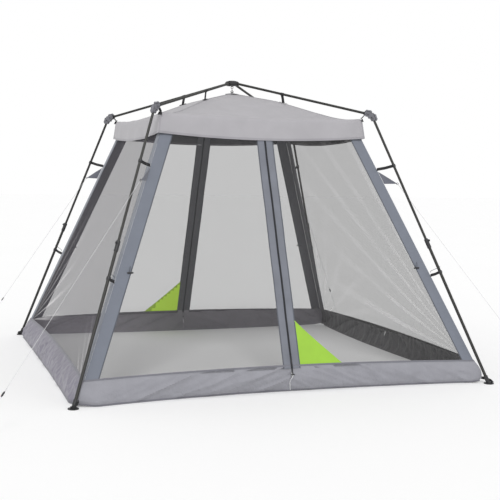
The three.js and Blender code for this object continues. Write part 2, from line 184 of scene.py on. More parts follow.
class Look:
    """A Principled material with helpers to add and link nodes."""

    def __init__(self, name, colour, roughness, metallic=0.0, sheen=0.0):
        self.material = bpy.data.materials.new(name)
        self.material.use_nodes = True
        self.tree = self.material.node_tree
        self.shader = self.tree.nodes["Principled BSDF"]
        self.colour = colour
        self.shader.inputs["Base Color"].default_value = (*colour, 1)
        self.shader.inputs["Roughness"].default_value = roughness
        self.shader.inputs["Metallic"].default_value = metallic
        if sheen:
            self.shader.inputs["Sheen Weight"].default_value = sheen
            self.shader.inputs["Sheen Roughness"].default_value = 0.5

    def node(self, kind, settings=None, **inputs):
        made = self.tree.nodes.new("ShaderNode" + kind)
        for key, value in (settings or {}).items():
            setattr(made, key, value)
        for key, value in inputs.items():
            by_number = key[0] == "i" and key[1:].isdigit()
            socket = made.inputs[int(key[1:]) if by_number else key]
            if isinstance(value, bpy.types.NodeSocket):
                self.tree.links.new(value, socket)
            else:
                socket.default_value = value
        return made.outputs[0]

    def math(self, operation, a, b=0.0):
        return self.node("Math", {"operation": operation}, i0=a, i1=b)

    def place(self):
        """Coordinates of the piece as built, in metres."""
        return self.tree.nodes.new("ShaderNodeTexCoord").outputs["Object"]

    def along_across(self):
        """The cloth's own two directions, in metres."""
        uv = self.tree.nodes.new("ShaderNodeTexCoord").outputs["UV"]
        split = self.tree.nodes.new("ShaderNodeSeparateXYZ")
        self.tree.links.new(uv, split.inputs[0])
        return split.outputs[0], split.outputs[1]

    def blotches(self, scale, detail=3.0):
        return self.node("TexNoise", Vector=self.place(), Scale=scale, Detail=detail)

    def paint(self, factor, dark, light):
        """The base colour runs from dark to light times the material's own as factor goes 0 to 1."""
        low = (*[c * dark for c in self.colour], 1)
        high = (*[min(c * light, 1) for c in self.colour], 1)
        mixed = self.node("Mix", {"data_type": "RGBA"}, i0=factor, i6=low, i7=high)
        mixed = mixed.node.outputs[2]
        self.tree.links.new(mixed, self.shader.inputs["Base Color"])
        return mixed

    def over(self, base, mask, colour):
        """Lays a second colour over the base where mask is 1."""
        mixed = self.node("Mix", {"data_type": "RGBA"}, i0=mask, i6=base, i7=(*colour, 1)).node.outputs[2]
        self.tree.links.new(mixed, self.shader.inputs["Base Color"])
        return mixed

    def rough(self, factor, low, high):
        ranged = self.node("MapRange", Value=factor)
        ranged.node.inputs["To Min"].default_value = low
        ranged.node.inputs["To Max"].default_value = high
        self.tree.links.new(ranged, self.shader.inputs["Roughness"])

    def bump(self, height, distance, strength=0.5):
        raised = self.node("Bump", Height=height, Distance=distance, Strength=strength)
        self.tree.links.new(raised, self.shader.inputs["Normal"])


def waves(look, coordinate, pitch):
    """A sine of that pitch, 0 to 1, along one coordinate in metres."""
    turned = look.math("MULTIPLY", coordinate, 2 * math.pi / pitch)
    return look.math("MULTIPLY_ADD", look.math("SINE", turned), 0.5)


def weave(look, pitch):
    """Height of a plain weave: threads along and across."""
    along, across = look.along_across()
    return look.math("MAXIMUM", waves(look, along, pitch), waves(look, across, pitch))


def stitches(look, rows):
    """A mask of short thread dashes in rows along the cloth, each row at a distance across it."""
    along, across = look.along_across()
    dash = look.math("LESS_THAN", look.math("FRACT", look.math("DIVIDE", along, 0.005)), 0.62)
    mask = None
    for row in rows:
        near = look.math("LESS_THAN", look.math("ABSOLUTE", look.math("SUBTRACT", across, row)), 0.0008)
        mask = near if mask is None else look.math("MAXIMUM", mask, near)
    return look.math("MULTIPLY", dash, mask)


def rumples(look):
    """Height of sharp little creases in crumpled cloth."""
    folds = look.blotches(7.0, 4.0)
    return look.math("ABSOLUTE", look.math("SUBTRACT", folds, 0.5))


def cloth(name, colour, rows=(), fold_shade=0.10, thread=None, rumple=0.0, glow=None):
    """Coated polyester: plain weave, painted fold shade (the colour runs darker and lighter by fold_shade with a
    soft noise), and rows of stitching where it is sewn.
    glow is painted light: an emission that stands in for the light that comes through thin cloth from behind."""
    look = Look(name, colour, 0.78, sheen=0.25)
    if glow:
        # painted light: this emission makes the cloth glow as if lit through from behind
        look.shader.inputs["Emission Color"].default_value = (*glow, 1)
        look.shader.inputs["Emission Strength"].default_value = 1.0
    folds = look.blotches(9.0, 5.0)
    # painted fold shade: the base colour is darkened and lightened with the fold noise
    base = look.paint(folds, 1 - fold_shade, 1 + fold_shade)
    height = weave(look, 0.0011)
    if rows:
        sewn = stitches(look, rows)
        look.over(base, sewn, thread or tuple(c * 0.55 for c in colour))
        height = look.math("SUBTRACT", height, sewn)
    look.rough(folds, 0.7, 0.86)
    if rumple:
        height = look.math("ADD", look.math("MULTIPLY", height, 0.0005 / rumple), rumples(look))
    look.bump(height, rumple or 0.0005, 0.35)
    return look.material


def crease_highlight_fan(look, corner_along, corner_z, rays, reach_limit):
    """Painted highlights: fine pale lines along the creases that fan out of one corner of a side wall, fading away
    from it.
    """
    split = look.tree.nodes.new("ShaderNodeSeparateXYZ")
    look.tree.links.new(look.place(), split.inputs[0])
    along = look.math("SUBTRACT", split.outputs["Y"], corner_along)
    height = look.math("SUBTRACT", split.outputs["Z"], corner_z)
    angle = look.math("ARCTAN2", height, look.math("ABSOLUTE", along))
    reach = look.math("SQRT", look.math("ADD", look.math("MULTIPLY", along, along),
                                        look.math("MULTIPLY", height, height)))
    wander = look.math("MULTIPLY", look.blotches(0.8, 1.0), 5.0)
    wave = look.math("SINE", look.math("ADD", look.math("MULTIPLY", angle, rays), wander))
    line = look.node("MapRange", {"interpolation_type": "SMOOTHSTEP"}, i0=wave)
    line.node.inputs["From Min"].default_value = 0.5
    fade = look.node("MapRange", {"interpolation_type": "SMOOTHSTEP"}, i0=reach)
    fade.node.inputs["From Max"].default_value = reach_limit
    fade.node.inputs["To Min"].default_value = 1.0
    fade.node.inputs["To Max"].default_value = 0.0
    broken = look.math("MULTIPLY", look.blotches(2.0, 1.0), 2.2)
    return look.math("MULTIPLY", look.math("MULTIPLY", line, fade), broken)


def netting(name, colour, openness, fans=()):
    """Fine insect mesh; what is between its threads is clear. fans lists the painted crease highlights laid over
    its colour.
    """
    look = Look(name, colour, 0.9)
    along, across = look.along_across()
    threads = look.math("MAXIMUM", waves(look, along, 0.004), waves(look, across, 0.004))
    stretched = look.node("Mapping", Vector=look.place(), Scale=(1.6, 1.6, 0.5))
    pleat_shading = look.node("TexNoise", Vector=stretched, Scale=1.4, Detail=2.0)
    # painted shade and highlight: the thread colour swings darker and lighter along soft vertical streaks standing
    # for the net's pleats
    base = look.paint(look.math("MULTIPLY", threads, pleat_shading), 0.75, 1.9)
    for fan in fans:
        # painted highlight: pale crease lines laid over the net's colour
        base = look.over(base, crease_highlight_fan(look, *fan), linear(205, 203, 204))
    look.shader.inputs["Alpha"].default_value = 1 - openness
    return look.material


def webbing(name, colour):
    """Woven strap with a ribbed face."""
    look = Look(name, colour, 0.8)
    along, _ = look.along_across()
    ribs = waves(look, along, 0.0022)
    look.paint(look.math("MULTIPLY", ribs, look.blotches(60.0)), 0.7, 1.8)
    look.bump(ribs, 0.0006, 0.6)
    return look.material


def coated_steel(name):
    """Dark powder coat with a fine orange peel and a few rubbed spots."""
    look = Look(name, linear(54, 54, 52), 0.42, metallic=0.35)
    wear = look.blotches(26.0, 6.0)
    look.paint(wear, 0.75, 1.35)
    look.rough(wear, 0.34, 0.55)
    look.bump(look.blotches(1400.0, 2.0), 0.0002, 0.25)
    return look.material


def moulded(name, colour, roughness=0.5):
    """Moulded plastic with a fine grain and light scuffs."""
    look = Look(name, colour, roughness)
    scuffs = look.blotches(55.0, 7.0)
    look.paint(scuffs, 0.8, 1.3)
    look.rough(scuffs, roughness - 0.1, roughness + 0.15)
    look.bump(look.blotches(2200.0, 2.0), 0.0002, 0.3)
    return look.material


def braided(name, colour):
    """Round braid: two sets of strands that cross."""
    look = Look(name, colour, 0.75, sheen=0.2)
    along, across = look.along_across()
    right = waves(look, look.math("ADD", along, across), 0.004)
    left = waves(look, look.math("SUBTRACT", along, across), 0.004)
    strands = look.math("MAXIMUM", right, left)
    look.paint(strands, 0.82, 1.0)
    look.bump(strands, 0.0005, 0.5)
    return look.material


def zip_chain(name):
    """Black coil zip, with its teeth across the chain."""
    look = Look(name, linear(34, 36, 40), 0.45)
    along, _ = look.along_across()
    teeth = waves(look, along, 0.0026)
    look.paint(teeth, 0.6, 1.6)
    look.bump(teeth, 0.001, 0.8)
    return look.material


def pale_floor(name):
    look = Look(name, (0.90, 0.90, 0.90), 0.9)
    look.paint(look.blotches(0.7), 0.99, 1.01)
    look.shader.inputs["Emission Color"].default_value = (1, 1, 1, 1)
    look.shader.inputs["Emission Strength"].default_value = 0.08
    return look.material


ROOF_CLOTH = cloth("roof_cloth", linear(168, 166, 170))
ROOF_TAPE = cloth("roof_tape", linear(158, 156, 161), rows=(0.003, 0.011))
# painted shade: the canopy's inner face is a darker copy of the roof cloth
ROOF_INSIDE_SHADE = cloth("roof_inside_shade", linear(120, 118, 122))
SLEEVE_CLOTH = cloth("sleeve_cloth", linear(115, 120, 131), rows=(0.004, 0.009, 0.088), rumple=0.03)
# painted shade: the back faces of the sleeves and door strips are a darker copy of their cloth
SLEEVE_INSIDE_SHADE = cloth("sleeve_inside_shade", linear(98, 98, 102))
STRIP_CLOTH = cloth("strip_cloth", linear(116, 119, 128), rows=(0.004, 0.050), fold_shade=0.22, rumple=0.03)
EDGE_TAPE = cloth("edge_tape", linear(84, 88, 96), rows=(0.003,))
SKIRT_CLOTH = cloth("skirt_cloth", linear(146, 146, 153), fold_shade=0.14, rumple=0.10)
# Shaded and lit copies of the one skirt cloth: painted shade on the left side's outer face, on the front and left
# inner faces, and darkest on the right's inner face; painted light on the back's inner face.
SKIRT_LEFT_SHADE = cloth("skirt_left_shade", linear(127, 124, 136), fold_shade=0.16, rumple=0.10)
SKIRT_INSIDE_SHADE = cloth("skirt_inside_shade", linear(126, 123, 129), fold_shade=0.14, rumple=0.10)
SKIRT_BACK_INSIDE_LIT = cloth("skirt_back_inside_lit", linear(144, 141, 147), fold_shade=0.14, rumple=0.10)
SKIRT_RIGHT_INSIDE_SHADE = cloth("skirt_right_inside_shade", linear(86, 85, 86), fold_shade=0.14, rumple=0.10)
SKIRTS = {"front": (SKIRT_CLOTH, SKIRT_INSIDE_SHADE), "back": (SKIRT_CLOTH, SKIRT_BACK_INSIDE_LIT),
          "left": (SKIRT_LEFT_SHADE, SKIRT_INSIDE_SHADE), "right": (SKIRT_CLOTH, SKIRT_RIGHT_INSIDE_SHADE)}
SKIRT_TAPE = cloth("skirt_tape", linear(120, 120, 128), rows=(0.003, 0.009))
# painted shade: the guy tab's cloth is a darker copy of the sleeve cloth, for the shade it hangs in
GUSSET_SHADE_CLOTH = cloth("gusset_shade_cloth", linear(104, 106, 116), rows=(0.004,))
# painted light: the triangle's inner face is a brighter copy of the green cloth and glows, standing in for light
# coming through it from behind
GREEN_INSIDE_GLOW = cloth("green_inside_glow", linear(196, 230, 90), glow=(0.13, 0.23, 0.0))
GREEN_CLOTH = cloth("green_cloth", linear(150, 194, 60), rows=(0.004,), thread=linear(225, 240, 190))
# painted highlights along the creases of the side walls' nets
RIGHT_CREASE_HIGHLIGHTS = [(-1.36, 0.16, 34.0, 3.4), (1.40, 0.10, 30.0, 1.8)]  # (corner y, corner z, rays, reach)
LEFT_CREASE_HIGHLIGHTS = [(1.36, 0.16, 32.0, 1.5), (-1.50, 0.0, 40.0, 1.0)]
FRONT_NET = netting("front_net", linear(66, 66, 67), 0.71)
RIGHT_NET = netting("right_net", linear(68, 67, 63), 0.59, RIGHT_CREASE_HIGHLIGHTS)
LEFT_NET = netting("left_net", linear(66, 63, 70), 0.48, LEFT_CREASE_HIGHLIGHTS)
NETS = {"front": FRONT_NET, "back": FRONT_NET, "right": RIGHT_NET, "left": LEFT_NET}
BLACK_WEBBING = webbing("black_webbing", linear(38, 38, 40))
STEEL = coated_steel("coated_steel")
ELBOW_PLASTIC = moulded("elbow_plastic", linear(112, 112, 118))
BLACK_PLASTIC = moulded("black_plastic", linear(44, 44, 46), 0.45)
GUY_BRAID = braided("guy_braid", linear(214, 214, 216))
ZIP_CHAIN = zip_chain("zip_chain")
FLOOR = pale_floor("floor")


# ---------- meshes ----------
class Piece:
    """Collects sheets, tubes and bodies into one mesh, each with its own material."""

    def __init__(self, name):
        self.name = name
        self.verts, self.faces, self.uvs, self.slots, self.materials = [], [], [], [], []

    def _slot(self, material):
        if material not in self.materials:
            self.materials.append(material)
        return self.materials.index(material)

    def add(self, verts, faces, uvs, material):
        start, slot = len(self.verts), self._slot(material)
        self.verts += [tuple(v) for v in verts]
        self.faces += [tuple(start + i for i in face) for face in faces]
        self.uvs += [tuple(uv) for uv in uvs]
        self.slots += [slot] * len(faces)

    def sheet(self, points, material, thickness=0.0, inside=None, skip=None):
        """A sheet through a grid of points, outer face first. With a thickness it is closed, and its
        back can have a material of its own. skip says which (row, column) squares are left out."""
        grid = np.array(points, float)
        rows, columns = grid.shape[:2]
        uvs = surface_lengths(grid)
        faces = []
        for i in range(rows - 1):
            for j in range(columns - 1):
                if skip and skip(i, j):
                    continue
                a = i * columns + j
                faces.append((a, a + columns, a + columns + 1, a + 1))
        verts = grid.reshape(-1, 3)
        if not thickness:
            self.add(verts, faces, uvs, material)
            return
        down, right = np.gradient(grid, axis=0), np.gradient(grid, axis=1)
        normal = np.cross(down, right)
        normal /= np.linalg.norm(normal, axis=2, keepdims=True) + 1e-12
        back = (grid - normal * thickness).reshape(-1, 3)
        count = rows * columns
        inner = [tuple(count + i for i in reversed(face)) for face in faces]
        rim = [i * columns for i in range(rows)]
        rim += [(rows - 1) * columns + j for j in range(1, columns)]
        rim += [i * columns + columns - 1 for i in range(rows - 2, -1, -1)]
        rim += list(range(columns - 2, 0, -1))
        for a, b in zip(rim, rim[1:] + rim[:1]):
            faces.append((b, a, a + count, b + count))
        start = len(self.verts)
        self.add(np.vstack([verts, back]), faces, np.vstack([uvs, uvs]), material)
        self.faces += [tuple(start + i for i in face) for face in inner]
        self.slots += [self._slot(inside or material)] * len(inner)

    def tube(self, path, radius, material, sides=10, flat=1.0, side_hint=UP):
        """A closed round bar along a path. radius may be one number or one for each point."""
        path = [Vector(p) for p in path]
        radii = radius if hasattr(radius, "__len__") else [radius] * len(path)
        verts, uvs, run = [], [], 0.0
        across = None
        for i, point in enumerate(path):
            ahead = path[min(i + 1, len(path) - 1)] - path[max(i - 1, 0)]
            ahead.normalize()
            hint = side_hint if across is None else across
            across = hint - ahead * hint.dot(ahead)
            if across.length < 1e-6:
                across = ahead.orthogonal()
            across.normalize()
            other = ahead.cross(across)
            run += (point - path[i - 1]).length if i else 0.0
            for k in range(sides):
                turn = 2 * math.pi * k / sides
                spoke = across * math.cos(turn) + other * math.sin(turn) * flat
                verts.append(point + spoke * radii[i])
                uvs.append((run, turn * radii[i]))
        faces = []
        for i in range(len(path) - 1):
            for k in range(sides):
                a, b = i * sides + k, i * sides + (k + 1) % sides
                faces.append((a, b, b + sides, a + sides))
        faces.append(tuple(range(sides - 1, -1, -1)))
        faces.append(tuple((len(path) - 1) * sides + k for k in range(sides)))
        self.add(verts, faces, uvs, material)

    def strap(self, path, width, side, material, thickness=0.0018):
        """Flat webbing along a path, its width along side."""
        side = Vector(side).normalized() * width / 2
        self.sheet([[Vector(p) - side, Vector(p), Vector(p) + side] for p in path], material, thickness)

    def finish(self, body, slot, *, replaces=(), smooth=True, bevel=0.0):
        mesh = bpy.data.meshes.new(self.name)
        mesh.from_pydata(self.verts, [], self.faces)
        for material in self.materials:
            mesh.materials.append(material)
        mesh.polygons.foreach_set("material_index", self.slots)
        layer = mesh.uv_layers.new(name="UVMap")
        corners = np.zeros(len(mesh.loops), np.int32)
        mesh.loops.foreach_get("vertex_index", corners)
        layer.data.foreach_set("uv", np.array(self.uvs, np.float32)[corners].ravel())
        mesh.polygons.foreach_set("use_smooth", [smooth] * len(self.faces))
        obj = bpy.data.objects.new(self.name, mesh)
        bpy.context.scene.collection.objects.link(obj)
        if smooth:
            mesh.set_sharp_from_angle(angle=math.radians(50))
        if bevel:
            modifier = obj.modifiers.new("bevel", "BEVEL")
            modifier.width = bevel
            modifier.segments = 2
        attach(obj, body)
        if replaces:
            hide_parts(*replaces)
        return obj


def surface_lengths(grid):
    """UVs in metres: the length along each row and down each column of a grid of points."""
    steps_u = np.linalg.norm(np.diff(grid, axis=1), axis=2)
    steps_v = np.linalg.norm(np.diff(grid, axis=0), axis=2)
    u = np.concatenate([np.zeros((grid.shape[0], 1)), np.cumsum(steps_u, axis=1)], axis=1)
    v = np.concatenate([np.zeros((1, grid.shape[1])), np.cumsum(steps_v, axis=0)], axis=0)
    return np.stack([u, v], axis=2).reshape(-1, 2)


def steps(count, start=0.0, end=1.0):
    return [start + (end - start) * i / count for i in range(count + 1)]


def curve_through(points, count):
    """Evenly spaced points on a Catmull-Rom curve through 2 or more points."""
    points = [Vector(p) for p in points]
    ends = [2 * points[0] - points[1], *points, 2 * points[-1] - points[-2]]
    spans = len(points) - 1
    found = []
    for share in steps(count):
        span = min(int(share * spans), spans - 1)
        t = share * spans - span
        a, b, c, d = ends[span:span + 4]
        found.append(0.5 * ((2 * b) + (c - a) * t + (2 * a - 5 * b + 4 * c - d) * t * t
                            + (3 * b - a - 3 * c + d) * t ** 3))
    return found


def smooth(value, low, high):
    share = min(max((value - low) / (high - low), 0), 1)
    return share * share * (3 - 2 * share)


def ripple(point, scale, seed=0.0):
    return noise.noise(Vector(point) * scale + Vector((seed, 2 * seed, 3 * seed)))


def gather_on_pole(obj):
    """Gives the roof cloth its own copy of its mesh; it is not gathered or moved."""
    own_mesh(obj)


def sleeve_line(side, half, z):
    """The wall's corner at height z."""
    return on_side(side, half * wall_half(z), wall_half(z), z)


def gather_on_leg(obj, side, half):
    """Works out the wall corner's line and the inward direction in the wall's plane, uses neither, and gives the
    piece its own copy of its mesh; the cloth is not gathered or moved.
    """
    low, high = sleeve_line(side, half, WALL_LOW.z), sleeve_line(side, half, WALL_HIGH.z)
    line = (high - low).normalized()
    inward = on_side(side, -half, 0, 0)
    inward = (inward - line * inward.dot(line)).normalized()
    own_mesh(obj)


# ---------- guylines ----------
TAB_TIP_R = 1.412
TAB_TIP_Z = 1.455
TAB_SIDE = 0.020
GUY_R = 0.0012
PEG_HALF = {"fr": 1.830, "br": 1.830, "bl": 1.830, "fl": 2.190}
PEG_EYE_Z = 0.032
KNOT = 0.006  # from the tab's eye and from the peg to the line's ends
TENSIONER = {"fr": 0.80, "br": 0.80, "bl": 0.80, "fl": 0.86}  # share of the line from its tab
RUNNER_HALF = 0.022
RUNNER_R = 0.0075


def lay_flat(obj):
    """Gives the piece its own copy of its mesh; it is not moved down to the ground when the frame closes."""
    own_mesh(obj)


def guyline(corner):
    tab = at_corner(corner, TAB_TIP_R, TAB_SIDE, TAB_TIP_Z)
    peg = at_corner(corner, PEG_HALF[corner] * math.sqrt(2), TAB_SIDE, PEG_EYE_Z)
    run = (peg - tab).normalized()
    start, end = tab + run * KNOT, peg - run * KNOT
    path = [start.lerp(end, share) for share in steps(20)]
    line = Piece("guyline_line_" + corner)
    line.tube(path, GUY_R, GUY_BRAID, sides=8)
    line = line.finish("hub", "cord", replaces=["guyline_" + corner])
    grip = tensioner(corner, start.lerp(end, TENSIONER[corner]), run)
    lay_flat(line)
    lay_flat(grip)


def tensioner(corner, spot, run):
    """A flat three-hole runner that shortens the line, with its loop of doubled cord."""
    piece = Piece("tensioner_" + corner)
    _, sideways = corner_axes(corner)
    widths = [0.3, 0.85, 1.0, 0.85, 1.0, 0.85, 0.3]
    path = [spot + run * along for along in steps(len(widths) - 1, -RUNNER_HALF, RUNNER_HALF)]
    radii = [RUNNER_R * width for width in widths]
    piece.tube(path, radii, BLACK_PLASTIC, sides=14, flat=0.45, side_hint=sideways)
    above = sideways * 0.005
    doubled = [spot - run * 0.05 + above * 0.3, spot - run * 0.02 + above, spot + run * 0.02 + above]
    piece.tube(doubled, GUY_R, GUY_BRAID, sides=8)
    return piece.finish("hub", "black_plastic")


make_camera()
make_studio()
for corner in CORNERS:
    guyline(corner)


# ---------- canopy ----------
RIDGE = [(0, 2.164), (0.15, 2.126), (0.29, 2.089), (0.43, 2.034), (0.54, 1.990), (0.64, 1.955),
         (0.72, 1.941), (0.793, 1.946)]  # half width and height of the roof along its ridges
ROOF_DIP = 0.020  # how far a panel hangs below its ridges at the eave
HEM_CORNER_Z = 1.796
HEM_DIP = 0.036
ROOF_ROWS = 44
VALANCE_ROWS = 12
CANOPY_COLUMNS = 30
CANOPY_T = 0.0009
CANOPY_HEM = 0.016
RIDGE_TAPE = 0.011
TAPE_LIFT = 0.0012  # a tape's face stands this far off the cloth it is sewn to
EAVE_HALF, EAVE_Z = RIDGE[-1]


def canopy_profile():
    """(half width, height, dip) from the peak over a soft eave to the hem."""
    ridge = curve_through([(h, 0, z) for h, z in RIDGE], ROOF_ROWS)
    rows = [[p.x, p.z, ROOF_DIP * (p.x / EAVE_HALF) ** 2] for p in ridge]
    for share in steps(VALANCE_ROWS)[1:]:
        rows.append([EAVE_HALF + (VALANCE_HALF - EAVE_HALF) * share,
                     EAVE_Z + (HEM_CORNER_Z - EAVE_Z) * share,
                     ROOF_DIP + (HEM_DIP - ROOF_DIP) * share])
    softened = range(ROOF_ROWS - 2, ROOF_ROWS + 3)
    for _ in range(3):
        rows = [[(a + 2 * b + c) / 4 for a, b, c in zip(rows[i - 1], row, rows[i + 1])]
                if i in softened else row for i, row in enumerate(rows)]
    return rows


PROFILE = canopy_profile()


def canopy_spot(side, half, row, share, lift=0.0):
    """A point on the canopy: row down its profile, share from the side's middle (0) to the ridge."""
    width, height, dip = PROFILE[row]
    dip *= 1 - share ** 2
    on_valance = max(row - ROOF_ROWS, 0) / VALANCE_ROWS
    point = on_side(side, half * share * width, width, height - dip)
    free = 1 - share ** 6
    wave = 0.004 * free * ripple(point, 5.0) + 0.002 * free * ripple(point, 17.0, 4.0)
    flutter = 0.006 * on_valance * free * math.sin(11 * share * width / VALANCE_HALF + SIDES[side])
    corner_pull = 0.004 * free * share ** 3 * math.sin(40 * (height + half * share * width))
    out = on_side(side, 0, 1, 0)
    return point + out * (on_valance * (wave + flutter) + corner_pull * on_valance + lift * 0.6) \
        + UP * ((1 - on_valance) * wave + lift)


def canopy_hem(side, half, shares):
    """The doubled strip along the valance's lower edge, from its top row to its bottom row."""
    last = len(PROFILE) - 1
    grid = []
    for height in (CANOPY_HEM, CANOPY_HEM / 2, 0):
        row = []
        for share in shares:
            low = canopy_spot(side, half, last, share)
            high = canopy_spot(side, half, last - 1, share)
            row.append(low.lerp(high, height / (high - low).length) + on_side(side, 0, TAPE_LIFT, 0))
        grid.append(row)
    return grid


def ridge_tape(side, half, rows):
    """The tape on this side of the seam along the ridge."""
    grid = []
    for row in rows:
        edge = canopy_spot(side, half, row, 1.0, TAPE_LIFT)
        inner = canopy_spot(side, half, row, max(1 - RIDGE_TAPE / PROFILE[row][0], 0), TAPE_LIFT)
        strip = [inner, inner.lerp(edge, 0.5), edge]
        grid.append(strip if half > 0 else strip[::-1])
    return grid


def canopy_part(side, half):
    """One of the eight parts of the canopy: half of a roof panel with its half of the valance."""
    corner = corner_of(side, half)
    piece = Piece(f"canopy_{side}_{corner}")
    shares = steps(CANOPY_COLUMNS) if half > 0 else steps(CANOPY_COLUMNS)[::-1]
    rows = range(1, len(PROFILE))
    top = [canopy_spot(side, half, 0, 0)] * len(shares)
    grid = [top] + [[canopy_spot(side, half, row, share) for share in shares] for row in rows]
    grid[0] = [p.lerp(q, 0.04) for p, q in zip(grid[0], grid[1])]
    piece.sheet(grid, ROOF_CLOTH, CANOPY_T, ROOF_INSIDE_SHADE)
    piece.sheet(canopy_hem(side, half, shares), ROOF_TAPE, 0.0035)
    piece.sheet(ridge_tape(side, half, rows), ROOF_TAPE, 0.001)
    obj = piece.finish(f"pole_{corner}", "roof_cloth", replaces=["canopy"])
    gather_on_pole(obj)


# ---------- walls ----------
SLEEVE_W = 0.094
STRIP_IN = 0.0055
STRIP_OUT = 0.062
STRIP_LOW_Z = 0.172
SKIRT_SEAM_Z = 0.166
ROWS_UP = 60
STRIP_ROWS = 90


def wall_spot(side, across, z, lift=0.0):
    """A point on a wall, slightly billowed between its seams, lifted outwards."""
    half = wall_half(z)
    edge = min(1.0, abs(across) / half)
    height_share = (z - WALL_LOW.z) / (WALL_HIGH.z - WALL_LOW.z)
    inside = (1 - edge ** 2) * math.sin(math.pi * min(max(height_share, 0), 1))
    point = on_side(side, across, half, z)
    wave = 0.010 * inside * ripple(point, 2.2, SIDES[side])
    wave += 0.003 * ripple(point, 9.0) * (1 - edge ** 8) * smooth(z, 0.20, 0.32)
    return point + on_side(side, 0, wave + lift, 0)


def wall_heights(count, low=WALL_LOW.z):
    return steps(count, WALL_HIGH.z, low)


def across_range(half, inner, outer, count):
    """Distances across, ordered left to right as seen from outside."""
    return sorted(half * across for across in steps(count, inner, outer))


def half_wall(side, half):
    """Half a wall: its netting and the cloth sewn to it. The front and the back are doors."""
    corner = corner_of(side, half)
    door = side in ("front", "back")
    inner = STRIP_OUT - 0.004 if door else 0.0
    net = Piece(f"net_{side}_{corner}")
    grid = []
    for z in wall_heights(ROWS_UP):
        outer = wall_half(z) - SLEEVE_W + 0.006
        grid.append([wall_spot(side, x, z) for x in across_range(half, inner, outer, 40)])
    net.sheet(grid, NETS[side], skip=green_square(grid) if door and half > 0 else None)
    cad_wall = f"{side}_wall"
    if door:
        cad_wall += "_a" if half < 0 else "_b"
    obj = net.finish(f"leg_{corner}", "mesh_cloth", replaces=[cad_wall])
    gather_on_leg(obj, side, half)
    sleeve(side, half, corner)
    if door:
        door_strip(side, half, corner)
        tie_back(side, half, corner)
    if door and half > 0:
        green_corner(side, corner)


def sleeve(side, half, corner):
    """The corner's cloth strip on one wall, with its bound inner edge."""
    piece = Piece(f"sleeve_{side}_{corner}")
    grid, tape = [], []
    for z in wall_heights(STRIP_ROWS, low=SKIRT_SEAM_Z - 0.004):
        outer = wall_half(z)
        pucker = 0.002 * ripple((outer, z, SIDES[side]), 14.0, 7.0)
        row = []
        for x in across_range(half, outer - SLEEVE_W, outer, 6):
            share = (abs(x) - outer + SLEEVE_W) / SLEEVE_W
            roll = (0.003 + pucker) * math.sin(math.pi * share)
            row.append(on_side(side, x, outer + 0.0016 + roll, z))
        grid.append(row)
        near = across_range(half, outer - SLEEVE_W - 0.001, outer - SLEEVE_W + 0.007, 2)
        tape.append([on_side(side, x, outer + 0.0028, z) for x in near])
    piece.sheet(grid, SLEEVE_CLOTH, 0.001, SLEEVE_INSIDE_SHADE)
    piece.sheet(tape, EDGE_TAPE, 0.0012)
    obj = piece.finish(f"leg_{corner}", "sleeve_cloth")
    gather_on_leg(obj, side, half)


TOGGLE_Z = 0.83
TOGGLE_IN = 0.086  # from the corner


def tie_back(side, half, corner):
    """The toggle and loop on the sleeve's inner edge that hold the rolled-up door."""
    piece = Piece(f"tie_back_{side}_{corner}")
    across = half * (wall_half(TOGGLE_Z) - TOGGLE_IN)
    spot = on_side(side, across, wall_half(TOGGLE_Z) + 0.008, TOGGLE_Z)
    along = on_side(side, 1, 0, 0)
    toggle = [spot + along * s for s in (-0.022, -0.016, 0, 0.016, 0.022)]
    piece.tube(toggle, [0.003, 0.0065, 0.0055, 0.0065, 0.003], BLACK_PLASTIC, sides=14)
    loop = [spot + UP * up + along * aside
            for up, aside in ((0, 0), (0.018, 0.006), (0.045, 0), (0.018, -0.006), (0, 0))]
    piece.tube(curve_through(loop, 20), 0.0014, EDGE_TAPE, sides=8)
    gather_on_leg(piece.finish(f"leg_{corner}", "black_plastic"), side, half)


def door_strip(side, half, corner):
    """The cloth strip beside the zip, its bound edge, and half of the zip's chain."""
    piece = Piece(f"door_strip_{side}_{corner}")
    grid, tape = [], []
    width = STRIP_OUT - STRIP_IN
    heights = wall_heights(STRIP_ROWS, low=STRIP_LOW_Z)
    for z in heights:
        row = []
        for x in across_range(half, STRIP_IN, STRIP_OUT, 4):
            lift = 0.0016 + 0.0025 * math.sin(math.pi * (abs(x) - STRIP_IN) / width)
            row.append(wall_spot(side, x, z, lift))
        grid.append(row)
        near = across_range(half, STRIP_OUT - 0.006, STRIP_OUT + 0.002, 2)
        tape.append([wall_spot(side, x, z, 0.003) for x in near])
    piece.sheet(grid, STRIP_CLOTH, 0.001, SLEEVE_INSIDE_SHADE)
    piece.sheet(tape, EDGE_TAPE, 0.0014)
    chain = [wall_spot(side, half * 0.0030, z, 0.003) for z in heights]
    piece.tube(chain, 0.0038, ZIP_CHAIN, sides=8)
    obj = piece.finish(f"leg_{corner}", "sleeve_cloth")
    gather_on_leg(obj, side, half)


GREEN_TOP_Z = 0.485
GREEN_LOW_Z = 0.194
GREEN_REACH = 0.379


def green_reach(z):
    """How far the coloured triangle reaches across at height z."""
    share = (GREEN_TOP_Z - z) / (GREEN_TOP_Z - GREEN_LOW_Z)
    return STRIP_OUT + (GREEN_REACH - STRIP_OUT) * max(share, 0) ** 1.06


def green_square(grid):
    """The netting is cut away behind the coloured triangle."""
    def covered(i, j):
        corners = [grid[a][b] for a in (i, i + 1) for b in (j, j + 1)]
        across = max(min(abs(p.x), abs(p.y)) for p in corners)
        height = min(p.z for p in corners)
        top = max(p.z for p in corners)
        return top < GREEN_TOP_Z and height > GREEN_LOW_Z and across < green_reach(top)
    return covered


